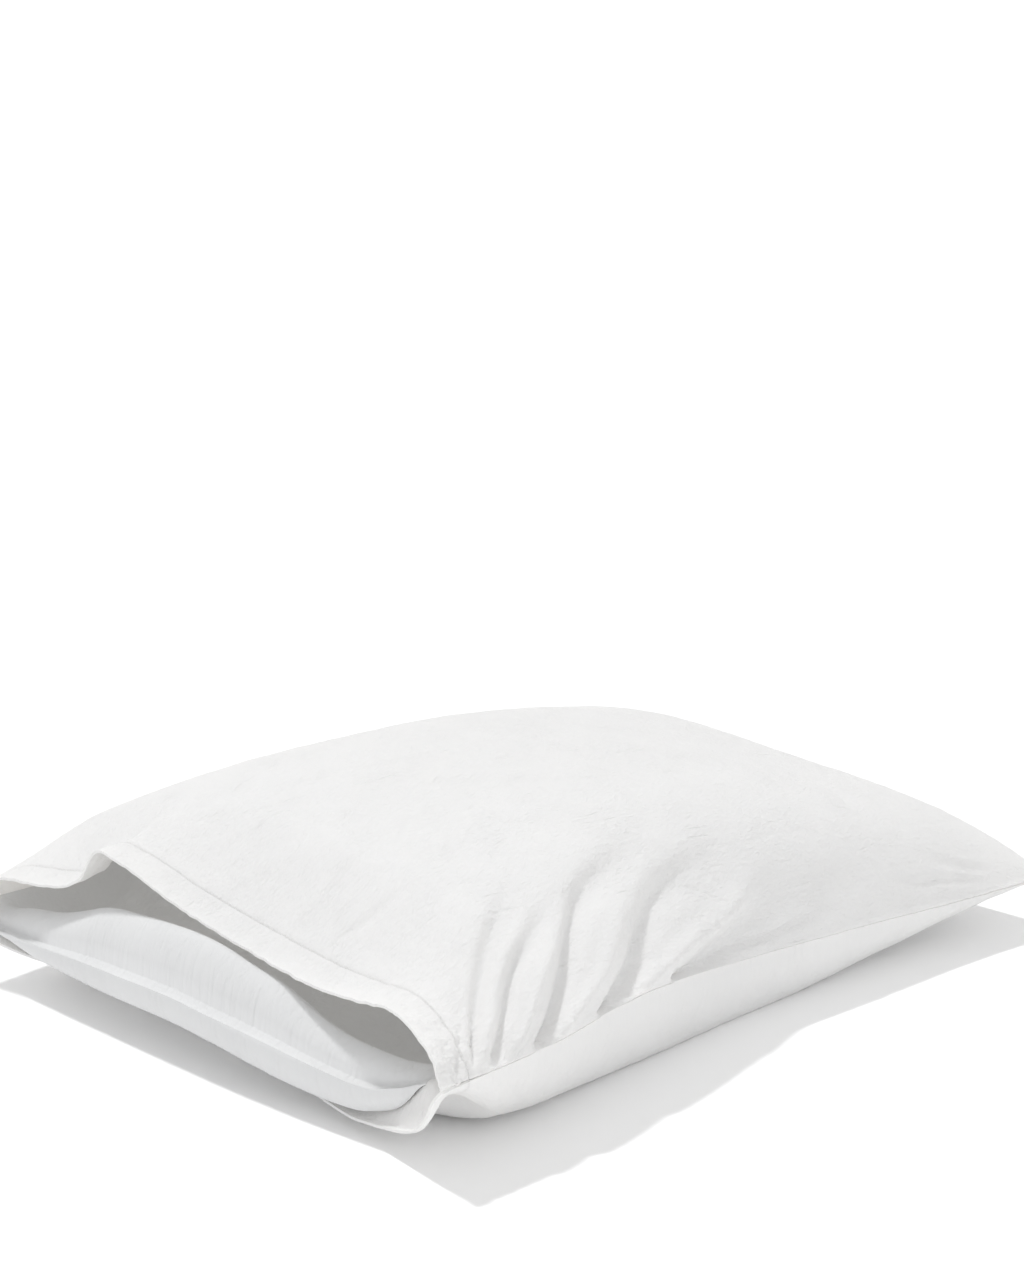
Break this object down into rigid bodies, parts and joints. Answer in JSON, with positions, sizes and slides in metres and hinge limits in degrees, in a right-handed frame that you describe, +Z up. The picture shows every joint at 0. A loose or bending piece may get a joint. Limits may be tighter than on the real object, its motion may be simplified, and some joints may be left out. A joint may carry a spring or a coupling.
{
  "type": "pillowcase on a pillow",
  "caption": "Soft crinkled cotton pillowcase drawn over a plump pillow that lies flat, its hemmed open end gaping around the pillow's end, with gathers at the side seam.",
  "frame": {"origin": "middle of the footprint, on the surface that the pillow lies on", "axes": "+Y along the length from the open mouth to the closed end, +Z up, +X across"},
  "size_m": [0.503, 0.638, 0.1576],
  "materials": {
    "white_washed_cotton": "matt washed cotton with fine crinkles",
    "pillow_cover": "smooth cool white pillow ticking"
  },
  "bodies": {
    "root": {"top_panel": "white_washed_cotton", "bottom_panel": "white_washed_cotton", "pillow": "pillow_cover"}
  },
  "joints": []
}
